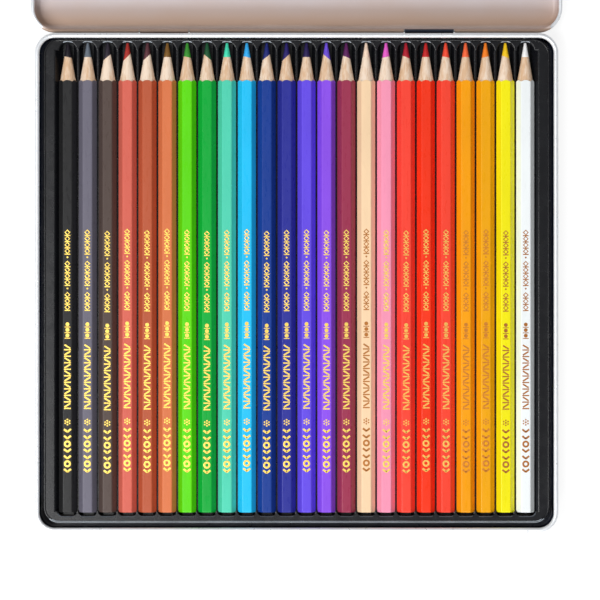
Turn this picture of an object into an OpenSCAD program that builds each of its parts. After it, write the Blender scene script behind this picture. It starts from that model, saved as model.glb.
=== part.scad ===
// Flat hinged tin with a formed tray and one row of colored pencils.
// The lid lies open behind the base. Origin: centre of the base's underside.
// X runs across the row of pencils, Y from the front to the hinge, Z up.
// The tray takes its size from the pencils and its borders, and the tin from the tray.

/* [Tin] */
// Height of the base, to the top of its rolled rim
base_h = 12; // [10.8:0.1:20]
// Outer radius of the base's upright corners
corner_r = 7.5; // [6:0.1:10]
// Thickness of the tinplate
sheet = 0.3; // [0.25:0.01:0.4]
// Diameter of the base's rim, rolled inwards
rim_d = 1.8; // [1.6:0.1:2.4]
// Outer radius of the bend between floor and walls
floor_bend_r = 2; // [1.2:0.1:3]
// Distance of the floor's stamped rib from the wall
rib_inset = 9; // [7:0.5:20]
// Width of the groove under the rib
rib_w = 2.4; // [1:0.1:5]
// How far the rib is stamped up
rib_h = 0.5; // [0.3:0.1:1.5]

/* [Lid] */
// Gap between the base's wall and the lid's skirt
lid_gap = 0.5; // [0.3:0.05:0.9]
// Gap between the base's rim and the closed lid's panel
lid_top_gap = 0.3; // [0.2:0.05:0.8]
// Inner radius of the bend between panel and skirt
lid_bend_r = 1.2; // [0.8:0.1:1.4]
// Diameter of the lid's edge, curled outwards
curl_d = 1.4; // [1.3:0.05:1.8]

/* [Hinge] */
// Distance of each hinge from the middle of the tin
hinge_x = 50; // [30:1:70]
// Width of the slot in the lid's edge at each hinge
slot_w = 19.2; // [12:0.2:26]
// Gap between a slot's end and the knuckle
slot_gap = 0.4; // [0.2:0.05:1]
// Height of the slot above the hinge's axis, lid closed
slot_rise = 1.6; // [1.2:0.1:3]
// Gap between the pin and the knuckle's bore
pin_gap = 0.05; // [0.02:0.01:0.1]
// Length of the pin held in the lid's curl at each end
pin_grip = 6; // [3:0.5:12]
// Height of the window that the hinge tab is cut from
window_h = 3; // [1:0.1:3.2]

/* [Tray] */
// Thickness of the formed tray
tray_t = 0.45; // [0.3:0.01:0.5]
// Outer radius of the tray's upright corners
tray_corner_r = 6; // [4:0.5:8]
// Gap between the tray and the base's rim, at each side
tray_gap = 1.3; // [0.3:0.1:3]
// Gap between the tray and the base's rim, at the pencils' blunt ends
front_gap = 1.6; // [0.3:0.1:3]
// Gap between the tray and the base's rim, at the points
rear_gap = 0.2; // [0.1:0.05:3]
// Width of the tray's flat border at each side of the row
side_border = 4.35; // [2:0.05:12]
// Width of the tray's flat border at the pencils' blunt ends
heel_border = 2.65; // [2:0.05:12]
// Width of the tray's flat border at the points
nose_border = 1.1; // [1:0.1:6]
// Height of the bead round the tray's edge
lip_h = 0.4; // [0.2:0.05:0.8]
// Width of the bead round the tray's edge
lip_w = 0.8; // [0.6:0.05:1.2]
// How far the tray's border stands above the pencils' axes
border_rise = 1.6; // [1:0.1:2]
// How far the ridges lie below the pencils' axes
ridge_drop = 1; // [0.8:0.05:1.4]
// Half the wall left between the channels' round ends at the points
nose_wall = 0.5; // [0.3:0.05:0.8]
// Radius of a channel's corners at the pencil's blunt end
heel_r = 1.9; // [0.8:0.1:2.4]
// Height of the nubs on the ridges
nub_h = 0.7; // [0.4:0.05:0.8]
// Width of a nub at its foot
nub_d = 0.9; // [0.5:0.05:0.95]

/* [Pencils] */
// Length of a pencil
pencil_l = 177; // [120:0.5:200]
// Width of a pencil across its flats
pencil_af = 6.1; // [5.5:0.05:7]
// Radius on the six long edges
pencil_edge_r = 0.6; // [0.3:0.05:1]
// Radius on the blunt end
pencil_end_r = 1; // [0.4:0.1:1.4]
// Space between one pencil's edge and the next
pencil_space = 0.64; // [0.4:0.02:2]
// Diameter of the colored lead
lead_d = 2.8; // [2:0.1:3.5]
// Length of the sharpened cone
cone_l = 14; // [10:0.5:20]
// Depth that the cone lies under the flats where it ends
cone_sink = 0.15; // [0.05:0.05:0.4]
// Length of the short shoulder from the cone to the lacquer
shoulder_l = 0.75; // [0.3:0.05:2]
// Diameter of the blunted point
point_d = 0.9; // [0.4:0.1:1.4]
// Gap between a pencil and its channel
pencil_gap = 0.25; // [0.15:0.05:0.3]
// Gap between a pencil's blunt end and the end of its channel
heel_gap = 1.3; // [0.2:0.05:3]
// Gap under a piece that rests on another
seat_gap = 0.1; // [0.05:0.05:0.3]
// How far the pencils' tops lie below the base's rim
pencil_drop = 1.9; // [1.5:0.1:3]

/* [Hidden] */
$fn = 64;
cut = 1;

// Name, casing color and lead color of each pencil, from left to right
PENCILS = [
    ["black", "#2a2a2c", "#1a1620"],
    ["grey", "#74727e", "#6a7480"],
    ["umber", "#584844", "#2e2834"],
    ["coral", "#dc6a5e", "#a62e22"],
    ["sienna", "#be6046", "#563238"],
    ["ochre", "#de8056", "#805a26"],
    ["lime", "#68de24", "#3c9632"],
    ["green", "#2cb24e", "#1a5634"],
    ["mint", "#5ed8ba", "#40d6aa"],
    ["sky", "#3cc8fa", "#2ea4ea"],
    ["blue", "#324e9e", "#1e2878"],
    ["navy", "#3c429e", "#281e6e"],
    ["indigo", "#6e5aea", "#281c56"],
    ["violet", "#925cee", "#6a4ad6"],
    ["wine", "#a84664", "#5e1e5e"],
    ["peach", "#fedab2", "#fadcc4"],
    ["pink", "#fca0bc", "#e050be"],
    ["scarlet", "#fc5246", "#ae1a2c"],
    ["red", "#f84632", "#c82222"],
    ["vermilion", "#fc5242", "#ea4628"],
    ["orange", "#fca424", "#f65e34"],
    ["amber", "#f4ae26", "#fa781e"],
    ["yellow", "#f8ec2e", "#fac814"],
    ["white", "#f6f8fa", "#fafafa"],
];
CASINGS = [for (p = PENCILS) str(p[0], "_casing")];
LEADS = [for (p = PENCILS) str(p[0], "_lead")];
count = len(PENCILS);

// Pencils
pencil_r = pencil_af / 2;
corner_reach = pencil_r / cos(30);
edge_reach = corner_reach - pencil_edge_r * (1 / cos(30) - 1);
pencil_z = base_h - pencil_drop - pencil_r;
pitch = 2 * edge_reach + pencil_space;
row_w = (count - 1) * pitch;

// Tray
channel_z = pencil_z - pencil_r - seat_gap;
ridge_z = pencil_z - ridge_drop;
border_z = pencil_z + border_rise;
skirt_z = sheet + seat_gap;
// Half width of a channel at its floor, and its side's lean per unit of height
channel_half = corner_reach / 2 + pencil_gap;
lean = tan(30);
ridge_half = channel_half + (ridge_z - channel_z) * lean;
border_half = channel_half + (border_z - channel_z) * lean;
channel_l = pencil_l + pencil_gap + heel_gap;
tray_w = row_w + 2 * (border_half + side_border);
tray_d = nose_border + channel_l + heel_border;
tray_y = (front_gap - rear_gap) / 2;
nose_y = tray_y + tray_d / 2 - nose_border;
point_y = nose_y - pencil_gap;
butt_y = point_y - pencil_l;
heel_y = nose_y - channel_l;
nose_r = pitch / 2 - nose_wall;
nose_centre_y = nose_y - nose_r;

// Tin and lid
base_w = tray_w + 2 * (tray_gap + rim_d);
base_d = front_gap + tray_d + rear_gap + 2 * rim_d;
inner_panel_z = base_h + lid_top_gap;
closed_h = inner_panel_z + sheet;
lid_w = base_w + 2 * lid_gap;
lid_d = base_d + 2 * lid_gap;
lid_corner_r = corner_r + lid_gap;

// Hinge: halfway up the closed tin, so that the open lid lies flat beside the base
hinge_y = base_d / 2 + lid_gap + curl_d / 2;
hinge_z = closed_h / 2;
pin_d = curl_d - 2 * sheet;
pin_l = slot_w + 2 * pin_grip;
bore_d = pin_d + 2 * pin_gap;
knuckle_d = bore_d + 2 * sheet;
knuckle_w = slot_w - 2 * slot_gap;

// Stations of the nubs along the ridges, from the pencils' blunt ends
NUB_STATIONS = [18.5, 62, 133.5];

function pencil_x(i) = i * pitch - row_w / 2;

// A rectangle with round corners, in the plane
module rounded_rect(w, d, r) {
    square([w - 2 * r, d], center = true);
    square([w, d - 2 * r], center = true);
    for (x = [-1, 1], y = [-1, 1])
        translate([x * (w / 2 - r), y * (d / 2 - r)]) circle(r);
}

// Sweeps a profile round a rounded rectangle. In the profile x runs outwards
// from the rectangle's outline and y runs up.
module swept_wall(w, d, r) {
    for (side = [0:3]) {
        reach = side % 2 == 0 ? w / 2 : d / 2;
        run = (side % 2 == 0 ? d : w) - 2 * r;
        rotate([0, 0, 90 * side]) translate([reach, run / 2, 0])
            rotate([90, 0, 0]) linear_extrude(run) children();
        rotate([0, 0, 90 * side]) translate([reach - r, run / 2, 0])
            rotate_extrude(angle = 90) translate([r, 0]) children();
    }
}

// A ring cut back to three of its quarters, as a rolled sheet edge
module rolled_edge(d, open_x, open_y) {
    difference() {
        circle(d / 2);
        circle(d / 2 - sheet);
        translate([open_x > 0 ? 0 : -d, open_y > 0 ? 0 : -d]) square(d);
    }
}

module base_profile() {
    difference() {
        translate([-floor_bend_r, floor_bend_r]) circle(floor_bend_r);
        translate([-floor_bend_r, floor_bend_r]) circle(floor_bend_r - sheet);
        translate([-2 * floor_bend_r, floor_bend_r]) square(2 * floor_bend_r);
        translate([-2 * floor_bend_r, 0]) square([floor_bend_r, 2 * floor_bend_r]);
    }
    translate([-1.5 * floor_bend_r, 0]) square([floor_bend_r / 2, sheet]);
    translate([-sheet, floor_bend_r]) square([sheet, base_h - rim_d / 2 - floor_bend_r]);
    translate([-rim_d / 2, base_h - rim_d / 2]) rolled_edge(rim_d, 1, -1);
}

module base_floor() {
    w = base_w - 2 * floor_bend_r;
    d = base_d - 2 * floor_bend_r;
    r = corner_r - floor_bend_r;
    difference() {
        union() {
            linear_extrude(sheet) rounded_rect(w, d, r);
            linear_extrude(sheet + rib_h) rib_ring(sheet);
        }
        translate([0, 0, -cut]) linear_extrude(rib_h + cut) rib_ring(0);
    }
}

// Plan of the floor's rib. grow widens it by a sheet's thickness on each side.
module rib_ring(grow) {
    w = base_w - 2 * rib_inset;
    d = base_d - 2 * rib_inset;
    difference() {
        rounded_rect(w + 2 * grow, d + 2 * grow, corner_r + grow);
        rounded_rect(w - 2 * rib_w - 2 * grow, d - 2 * rib_w - 2 * grow,
            corner_r - rib_w - grow);
    }
}

// Hinge tab cut from the rear wall, bent out and curled round the pin
module hinge_tab() {
    reach = hinge_y - base_d / 2;
    translate([-knuckle_w / 2, base_d / 2 - sheet, hinge_z - knuckle_d / 2])
        cube([knuckle_w, reach + sheet, sheet]);
    translate([-knuckle_w / 2, hinge_y, hinge_z]) rotate([0, 90, 0])
        cylinder(h = knuckle_w, d = knuckle_d);
}

module base_shell() {
    color("#9aa0a8") difference() {
        union() {
            swept_wall(base_w, base_d, corner_r) base_profile();
            base_floor();
            for (x = [-hinge_x, hinge_x]) translate([x, 0, 0]) hinge_tab();
        }
        for (x = [-hinge_x, hinge_x]) {
            translate([x - knuckle_w / 2 - cut, hinge_y, hinge_z]) rotate([0, 90, 0])
                cylinder(h = knuckle_w + 2 * cut, d = bore_d);
            translate([x - knuckle_w / 2, base_d / 2 - sheet - cut,
                    hinge_z - knuckle_d / 2 - window_h])
                cube([knuckle_w, sheet + 2 * cut, window_h]);
        }
    }
}

module lid_profile() {
    bend_z = inner_panel_z - lid_bend_r;
    translate([-1.5 * lid_bend_r, inner_panel_z]) square([lid_bend_r / 2, sheet]);
    translate([0, hinge_z]) square([sheet, bend_z - hinge_z]);
    translate([-lid_bend_r, bend_z]) intersection() {
        difference() {
            circle(lid_bend_r + sheet);
            circle(lid_bend_r);
        }
        square(2 * lid_bend_r);
    }
    translate([curl_d / 2, hinge_z]) rolled_edge(curl_d, -1, 1);
}

module closed_lid() {
    difference() {
        union() {
            swept_wall(lid_w, lid_d, lid_corner_r) lid_profile();
            translate([0, 0, inner_panel_z]) linear_extrude(sheet)
                rounded_rect(lid_w - 2 * lid_bend_r, lid_d - 2 * lid_bend_r,
                    lid_corner_r - lid_bend_r);
        }
        for (x = [-hinge_x, hinge_x])
            translate([x - slot_w / 2, lid_d / 2 - cut, hinge_z - curl_d])
                cube([slot_w, curl_d + 2 * cut, curl_d + slot_rise]);
    }
}

// The lid swung half a turn back about the hinge's axis, as in the photograph
module lid_shell() {
    color("#b09a88") translate([0, hinge_y, hinge_z]) rotate([180, 0, 0])
        translate([0, -hinge_y, -hinge_z]) closed_lid();
}

module hinge_pin(x) {
    color("silver") translate([x - pin_l / 2, hinge_y, hinge_z]) rotate([0, 90, 0])
        cylinder(h = pin_l, d = pin_d);
}

// Outline, seen along the pencils, of the space under the ridges' tops that the
// channels take. grow moves it outwards by a wall's thickness.
module channel_section(grow) {
    spread = grow * tan(30);
    for (i = [0:count - 1]) translate([pencil_x(i), 0]) polygon([
        [-ridge_half - spread, ridge_z - grow],
        [-channel_half - spread, channel_z - grow],
        [channel_half + spread, channel_z - grow],
        [ridge_half + spread, ridge_z - grow],
        [ridge_half + spread, ridge_z + cut],
        [-ridge_half - spread, ridge_z + cut],
    ]);
}

// Section of the wide well over the ridges, up to the tray's border
module well_section(grow) {
    spread = grow * tan(30);
    reach = row_w / 2;
    top_z = border_z + cut;
    polygon([
        [-reach - ridge_half - spread, ridge_z - grow],
        [reach + ridge_half + spread, ridge_z - grow],
        [reach + border_half + spread + (top_z - border_z + grow) * lean, top_z],
        [-reach - border_half - spread - (top_z - border_z + grow) * lean, top_z],
    ]);
}

// Runs a section seen along the pencils from one Y to another
module along_pencils(from_y, to_y) {
    translate([0, to_y, 0]) rotate([90, 0, 0]) linear_extrude(to_y - from_y) children();
}

// Plan of the channels: round at the points, small corners at the blunt ends
module channel_plan(grow) {
    half = pitch / 2;
    for (i = [0:count - 1]) translate([pencil_x(i), 0]) {
        translate([0, nose_centre_y]) circle(nose_r + grow);
        for (x = [-1, 1])
            translate([x * (half - heel_r), heel_y + heel_r]) circle(heel_r + grow);
        translate([heel_r - half, heel_y - grow]) square([2 * (half - heel_r), heel_r + cut]);
    }
    middle_w = row_w + 2 * border_half + 2 * grow;
    translate([-middle_w / 2, heel_y + heel_r - grow])
        square([middle_w, nose_centre_y - heel_y - heel_r + 2 * grow]);
}

module tray_hollow(grow) {
    intersection() {
        union() {
            along_pencils(heel_y - cut, nose_y + cut) channel_section(grow);
            along_pencils(heel_y - cut, nose_y + cut) well_section(grow);
        }
        translate([0, 0, channel_z - grow - cut])
            linear_extrude(border_z - channel_z + grow + cut + lip_h + cut)
            channel_plan(grow);
    }
}

// The tray's outline in plan, drawn in from its edge
module tray_plan(inset = 0) {
    translate([0, tray_y])
        rounded_rect(tray_w - 2 * inset, tray_d - 2 * inset, tray_corner_r - inset);
}

module pencil_tray() {
    color("#303236") {
        difference() {
            union() {
                difference() {
                    translate([0, 0, skirt_z]) linear_extrude(border_z - skirt_z) tray_plan();
                    translate([0, 0, skirt_z - cut])
                        linear_extrude(border_z - tray_t - skirt_z + cut) tray_plan(tray_t);
                }
                intersection() {
                    tray_hollow(tray_t);
                    translate([0, 0, skirt_z]) linear_extrude(border_z - skirt_z) tray_plan();
                }
                translate([0, 0, border_z - tray_t]) linear_extrude(tray_t + lip_h)
                    difference() {
                        tray_plan();
                        tray_plan(lip_w);
                    }
            }
            tray_hollow(0);
        }
        for (i = [0:count - 2], y = NUB_STATIONS)
            translate([pencil_x(i) + pitch / 2, butt_y + y, ridge_z - tray_t / 2])
                cylinder(h = nub_h + tray_t / 2, d1 = nub_d, d2 = nub_d / 2);
    }
}

// A hexagon with round corners and two flats lying level
module pencil_section() {
    centre = corner_reach - pencil_edge_r / cos(30);
    polygon([for (k = [0:5], s = [-1, 1])
        let (a = 60 * k)
        [centre * cos(a) + pencil_edge_r * cos(a + 30 * s),
            centre * sin(a) + pencil_edge_r * sin(a + 30 * s)]]);
    for (k = [0:5]) rotate(60 * k) translate([centre, 0]) circle(pencil_edge_r);
}

// Round envelope of a pencil, from its blunt end at 0 to its point
module pencil_envelope() {
    r = edge_reach + pencil_edge_r / 20;
    rotate_extrude() {
        polygon([
            [0, 0],
            [r - pencil_end_r, 0],
            [r, pencil_end_r],
            [r, pencil_l - cone_l - shoulder_l],
            [pencil_r - cone_sink, pencil_l - cone_l],
            [point_d / 2, pencil_l],
            [0, pencil_l],
        ]);
        intersection() {
            translate([r - pencil_end_r, pencil_end_r]) circle(pencil_end_r);
            square([r, pencil_end_r]);
        }
    }
}

// Lays a piece drawn upright from its blunt end down in channel i, point to the rear
module lay_pencil(i) {
    translate([pencil_x(i), butt_y, pencil_z]) rotate([-90, 0, 0]) children();
}

module pencil_casing(i) {
    color(PENCILS[i][1]) lay_pencil(i) difference() {
        intersection() {
            linear_extrude(pencil_l) pencil_section();
            pencil_envelope();
        }
        translate([0, 0, -cut]) cylinder(h = pencil_l + 2 * cut, d = lead_d);
    }
}

module pencil_lead(i) {
    color(PENCILS[i][2]) lay_pencil(i) intersection() {
        cylinder(h = pencil_l, d = lead_d);
        pencil_envelope();
    }
}

base_shell();
lid_shell();
hinge_pin(-hinge_x);  // left_hinge_pin
hinge_pin(hinge_x);  // right_hinge_pin
pencil_tray();
for (i = [0:count - 1]) {
    pencil_casing(i);
    pencil_lead(i);
}
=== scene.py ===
"""A flat hinged tin of 24 colored pencils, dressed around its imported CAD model."""

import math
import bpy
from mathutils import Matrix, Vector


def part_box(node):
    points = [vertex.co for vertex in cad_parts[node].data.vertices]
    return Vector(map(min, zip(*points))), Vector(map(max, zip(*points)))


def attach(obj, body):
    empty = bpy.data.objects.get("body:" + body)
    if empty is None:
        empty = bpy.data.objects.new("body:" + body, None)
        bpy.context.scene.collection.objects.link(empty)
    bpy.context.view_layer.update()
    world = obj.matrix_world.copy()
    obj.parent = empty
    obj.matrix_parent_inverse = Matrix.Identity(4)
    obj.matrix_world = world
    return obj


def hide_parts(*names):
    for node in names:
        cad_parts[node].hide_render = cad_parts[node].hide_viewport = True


bl_info = {
    "name": "Colored pencil tin",
    "version": (1, 0, 0),
    "blender": (4, 5, 0),
    "location": "View3D > Sidebar > Pencil tin",
    "description": "Models a hinged tin, its formed tray and a row of sharpened pencils",
    "category": "Object",
}

import bmesh
import bpy
from bpy.props import FloatProperty, FloatVectorProperty, IntProperty, PointerProperty
from mathutils import Matrix, Vector

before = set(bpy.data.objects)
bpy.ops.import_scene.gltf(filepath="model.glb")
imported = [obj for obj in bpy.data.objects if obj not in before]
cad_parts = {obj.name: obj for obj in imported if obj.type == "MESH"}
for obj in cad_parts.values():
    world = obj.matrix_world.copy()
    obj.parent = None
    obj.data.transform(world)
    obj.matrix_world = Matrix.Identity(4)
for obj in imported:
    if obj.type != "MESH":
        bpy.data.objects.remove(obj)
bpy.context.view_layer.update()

MM = 0.001
TINY = 0.02 * MM
QUARTER = math.radians(90)

# How far the three rows of nubs lie from the pencils' blunt ends
NUB_STATIONS = (18.5 * MM, 62.0 * MM, 133.5 * MM)

# How far the rounded ends of the channels reach on either side of the pencils' blunt ends,
# where their edges get a faint painted highlight, and how far the painted highlight on the stops before
# the points reaches to each side
HEEL = 2.5 * MM
STOP_REACH = 1.8 * MM

# Place and size of each lamp in metres
KEY_LAMP = ((-0.71, -0.32, 1.35), (0.56, 1.0))
SPARK_LAMP = ((-0.08, -1.05, 1.1), (0.42, 0.3))

# The foils, named as their colors are
FOILS = ("gold", "warm", "bronze", "dull")

# Name, casing color, lead color, how far the lead lies off the middle in mm, foil,
# and how far the stamping is shifted towards the blunt end in mm
PENCILS = (
    ("black", "#262627", "#1a1620", 0.05, "gold", 0.0),
    ("grey", "#6e6b79", "#6a7480", 0.0, "gold", 0.0),
    ("umber", "#564843", "#2e2834", -0.2, "gold", 0.5),
    ("coral", "#d96858", "#b0322a", -0.25, "gold", -0.3),
    ("sienna", "#bb5b3c", "#5e343c", -0.22, "gold", 0.2),
    ("ochre", "#db794c", "#805a26", 0.0, "gold", -0.4),
    ("lime", "#5fdc0d", "#3c9632", 0.05, "gold", 0.0),
    ("green", "#0dac3d", "#1a5634", 0.2, "gold", 0.5),
    ("mint", "#54d5b5", "#46e2b8", 0.0, "gold", 0.1),
    ("sky", "#25c4f9", "#34b0f6", 0.05, "gold", -0.2),
    ("blue", "#1b3f95", "#1e2878", -0.2, "gold", 0.5),
    ("navy", "#2f3499", "#281e6e", -0.22, "gold", 0.1),
    ("indigo", "#674ee6", "#281c56", 0.0, "gold", -0.1),
    ("violet", "#8d52eb", "#7050de", 0.2, "gold", 0.2),
    ("wine", "#9e3754", "#5e1e5e", 0.1, "gold", 0.0),
    ("peach", "#f9d7af", "#fadcc4", 0.0, "bronze", -0.3),
    ("pink", "#f99ab8", "#ee60d0", -0.05, "gold", 0.1),
    ("scarlet", "#f94838", "#b41c2e", 0.1, "warm", 0.3),
    ("red", "#f6391b", "#c82424", 0.0, "warm", -0.2),
    ("vermilion", "#f94834", "#f64e34", 0.05, "warm", 0.0),
    ("orange", "#f9a20d", "#fe6a3c", 0.0, "dull", 0.2),
    ("amber", "#f1a80d", "#ff8422", -0.05, "dull", -0.1),
    ("yellow", "#f5eb12", "#fccc18", 0.1, "bronze", 0.3),
    ("white", "#f3f8f9", "#fdfdfd", 0.0, "bronze", 0.1),
)

CASING_LOW, CASING_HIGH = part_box("black_casing")
LEAD_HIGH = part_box("black_lead")[1]
NEXT_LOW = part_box("grey_casing")[0]
BASE_LOW, BASE_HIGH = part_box("base_shell")
LID_LOW, LID_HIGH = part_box("lid_shell")
PIN_LOW, PIN_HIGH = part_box("right_hinge_pin")
TRAY_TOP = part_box("pencil_tray")[1].z

# The pencils' axes, their row and their ends
AXIS_Z = (CASING_LOW.z + CASING_HIGH.z) / 2
ACROSS_FLATS = CASING_HIGH.z - CASING_LOW.z
ROW_X = (CASING_LOW.x + CASING_HIGH.x) / 2
PITCH = NEXT_LOW.x - CASING_LOW.x
BUTT_Y = CASING_LOW.y
POINT_Y = LEAD_HIGH.y

# The hinge's axis
HINGE_Y = (PIN_LOW.y + PIN_HIGH.y) / 2
HINGE_Z = (PIN_LOW.z + PIN_HIGH.z) / 2


def linear(code):
    """The linear color of a hexadecimal sRGB code."""
    parts = (int(code[i : i + 2], 16) / 255 for i in (1, 3, 5))
    return tuple(p / 12.92 if p <= 0.04045 else ((p + 0.055) / 1.055) ** 2.4 for p in parts)


def length(name, value, description):
    """A length property, its default given in millimetres."""
    return FloatProperty(
        name=name, description=description, default=value * MM, min=0.0, precision=5, unit="LENGTH"
    )


def color(name, code, description):
    """A color property, its default given as a hexadecimal code."""
    return FloatVectorProperty(
        name=name, description=description, default=linear(code), min=0.0, max=1.0,
        size=3, subtype="COLOR",
    )


class TinSizes(bpy.types.PropertyGroup):
    """Sizes of the tinplate base, lid and hinge."""

    sheet: length("Sheet", 0.3, "Thickness of the tinplate")
    corner_radius: length("Corner radius", 7.5, "Outer radius of the base's upright corners")
    rim: length("Rim", 1.8, "Diameter of the base's rolled rim")
    floor_bend: length("Floor bend", 2.0, "Outer radius of the bend between floor and walls")
    rib_inset: length("Rib inset", 9.0, "Distance of the floor's rib from the wall")
    rib_width: length("Rib width", 2.4, "Width of the groove under the rib")
    rib_height: length("Rib height", 0.5, "How far the rib is stamped up")
    lid_radius: length("Lid corner radius", 8.0, "Inner radius of the lid's upright corners")
    lid_bend: length("Lid bend", 2.0, "Inner radius of the bend between panel and skirt")
    curl: length("Curl", 1.4, "Diameter of the lid's edge, curled outwards")
    hinge_place: length("Hinge place", 50.0, "Distance of each hinge from the middle")
    slot_width: length("Slot width", 19.2, "Width of the slot in the lid's edge")
    slot_depth: length("Slot depth", 1.6, "Depth of the slot below the hinge's axis, lid open")
    knuckle_width: length("Knuckle width", 18.4, "Width of the base's curled tab")
    knuckle: length("Knuckle", 1.5, "Outer diameter of the base's curled tab")
    window_height: length("Window height", 3.0, "Height of the window that the tab is cut from")


class PencilSizes(bpy.types.PropertyGroup):
    """Sizes of a pencil and its stamping."""

    edge_radius: length("Edge radius", 0.6, "Radius on the six long edges")
    end_radius: length("End radius", 0.45, "Radius round the blunt end")
    lead: length("Lead", 2.8, "Diameter of the colored lead")
    cone: length("Cone", 14.0, "Length of the sharpened cone")
    cone_sink: length("Cone sink", 0.15, "Depth of the cone under the flats where it ends")
    shoulder: length("Shoulder", 0.75, "Length of the step from the cone up to the lacquer")
    point: length("Point", 0.9, "Diameter of the blunted point")
    stamp_height: length("Stamp height", 0.03, "Thickness of the stamped foil")
    stamp_width: length("Stamp width", 2.7, "Width of the stamped band")


class TraySizes(bpy.types.PropertyGroup):
    """Sizes of the formed tray's soft edges and nubs."""

    lip_height: length("Lip height", 0.4, "Height of the bead round the tray's edge")
    lip_round: length("Lip rounding", 0.3, "Radius on the bead round the tray's edge")
    border_round: length("Border rounding", 0.42, "Radius on the edge of the tray's border")
    ridge_drop: length("Ridge drop", 1.0, "How far the ridges lie below the pencils' axes")
    ridge_round: length("Ridge rounding", 0.35, "Radius on the ridges between the channels")
    nub_height: length("Nub height", 0.7, "Height of the nubs on the ridges")
    nub: length("Nub", 0.9, "Diameter of a nub at its foot")


class FinishColors(bpy.types.PropertyGroup):
    """Colors of the tin, the tray and the bare wood, with the painted shade and light on the lid and
    the painted highlights on the tray.
    """

    outside: color("Outside lacquer", "#1a2238", "Lacquer on the outside of base and lid")
    inside: color("Inside lacquer", "#d6ced3", "Satin lacquer on the lid's panel")
    # Painted shade on the lid's lacquer by the hinge; also the lacquer of the left hinge tab
    inside_shade_and_tab: color("Inside lacquer's edge", "#ccac97", "Satin lacquer by the hinge")
    # Painted light on the bend at the foot of the lid's wall by the hinge
    inside_bend_light: color("Inside lacquer's bend", "#f4ded4", "Lacquer stretched thin over the bend")
    tinplate: color("Tinplate", "#f6f9fd", "Bright tinplate of the rims")
    steel: color("Steel", "#b8babd", "Hinge pins")
    plastic: color("Tray plastic", "#131418", "Formed tray")
    # Faint painted highlight on the tray's rounded edges by the pencils' blunt ends
    rubbed: color("Rubbed plastic", "#4a5059", "Edges of the tray, rubbed pale")
    # Bright painted highlight on the tray's front lip and on the stops before the points
    bright_edge_highlight: color("Rubbed lip", "#a6afb8", "Tray's front lip and the stops before the points")
    wood_pale: color("Pale wood", "#fce6d0", "Bare wood between its rings")
    wood_dark: color("Dark wood", "#e4bd97", "Rings and pores of the bare wood")
    gold: color("Gold foil", "#ffdb6a", "Foil on the dark and bright pencils")
    warm: color("Warm gold foil", "#ffc464", "Foil on the red pencils")
    bronze: color("Bronze foil", "#c27c3c", "Foil on the pale pencils")
    dull: color("Dull gold foil", "#e08c3a", "Foil on the orange pencils")


class StageSettings(bpy.types.PropertyGroup):
    """Camera, lamps and floor."""

    camera_height: length("Camera height", 1200.0, "Height of the camera over the table")
    camera_x: FloatProperty(
        name="Camera X", description="Camera's place across the row", default=1.28 * MM,
        unit="LENGTH",
    )
    camera_y: FloatProperty(
        name="Camera Y", description="Camera's place along the pencils", default=-6.48 * MM,
        unit="LENGTH",
    )
    view_angle: FloatProperty(
        name="View angle", description="Angle of the square view", default=math.radians(10.838),
        subtype="ANGLE",
    )
    sky: FloatProperty(name="Sky", description="Strength of the even light", default=0.26, min=0.0)
    key: FloatProperty(
        name="Key", description="Power of the large lamp at the left", default=15.0, min=0.0,
        unit="POWER",
    )
    spark: FloatProperty(
        name="Spark", description="Power of the small lamp that lights the edges", default=10.0,
        min=0.0, unit="POWER",
    )
    floor_color: color("Floor", "#e8e8e8", "Color of the table")


class PencilTinSettings(bpy.types.PropertyGroup):
    """Everything that a user would change."""

    tin: PointerProperty(type=TinSizes)
    tray: PointerProperty(type=TraySizes)
    pencil: PointerProperty(type=PencilSizes)
    finish: PointerProperty(type=FinishColors)
    stage: PointerProperty(type=StageSettings)
    corner_steps: IntProperty(
        name="Corner steps", description="Steps round each corner of the tin", default=16, min=4
    )


# Modelling


def start(name, kind, **settings):
    """Adds a primitive with nothing else selected."""
    bpy.ops.object.select_all(action="DESELECT")
    getattr(bpy.ops.mesh, f"primitive_{kind}_add")(**settings)
    piece = bpy.context.object
    piece.name = piece.data.name = name
    return piece


def select_only(*pieces):
    """Selects these pieces, the first of them active."""
    bpy.ops.object.select_all(action="DESELECT")
    for piece in pieces:
        piece.select_set(True)
    bpy.context.view_layer.objects.active = pieces[0]


def edit(piece):
    """Opens a piece in edit mode with all of it selected."""
    select_only(piece)
    bpy.ops.object.mode_set(mode="EDIT")
    bpy.ops.mesh.select_mode(type="VERT")
    bpy.ops.mesh.select_all(action="SELECT")


def close():
    """Leaves edit mode."""
    bpy.ops.object.mode_set(mode="OBJECT")


def pick(kind, test):
    """Selects the vertices, edges or faces in edit mode that pass a test."""
    bpy.ops.mesh.select_mode(type=kind)
    bpy.ops.mesh.select_all(action="DESELECT")
    mesh = bmesh.from_edit_mesh(bpy.context.edit_object.data)
    elements = {"VERT": mesh.verts, "EDGE": mesh.edges, "FACE": mesh.faces}[kind]
    for element in elements:
        if test(element):
            element.select_set(True)
    mesh.select_flush_mode()
    bmesh.update_edit_mesh(bpy.context.edit_object.data)


def move(vector):
    bpy.ops.transform.translate(value=vector)


def extrude(vector):
    bpy.ops.mesh.extrude_region_move(TRANSFORM_OT_translate={"value": vector})


def bake_place(piece):
    """Puts a piece's place into its mesh and its object at the origin."""
    select_only(piece)
    bpy.ops.object.transform_apply(location=True, rotation=True, scale=True)


def modify(piece, kind, **settings):
    """Adds a modifier and applies it."""
    modifier = piece.modifiers.new(kind.title(), kind)
    for name, value in settings.items():
        setattr(modifier, name, value)
    select_only(piece)
    bpy.ops.object.modifier_apply(modifier=modifier.name)


def carve(piece, tool, operation="DIFFERENCE"):
    """Cuts a piece with a tool and removes the tool."""
    modify(piece, "BOOLEAN", object=tool, operation=operation, solver="EXACT")
    bpy.data.objects.remove(tool)


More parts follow.
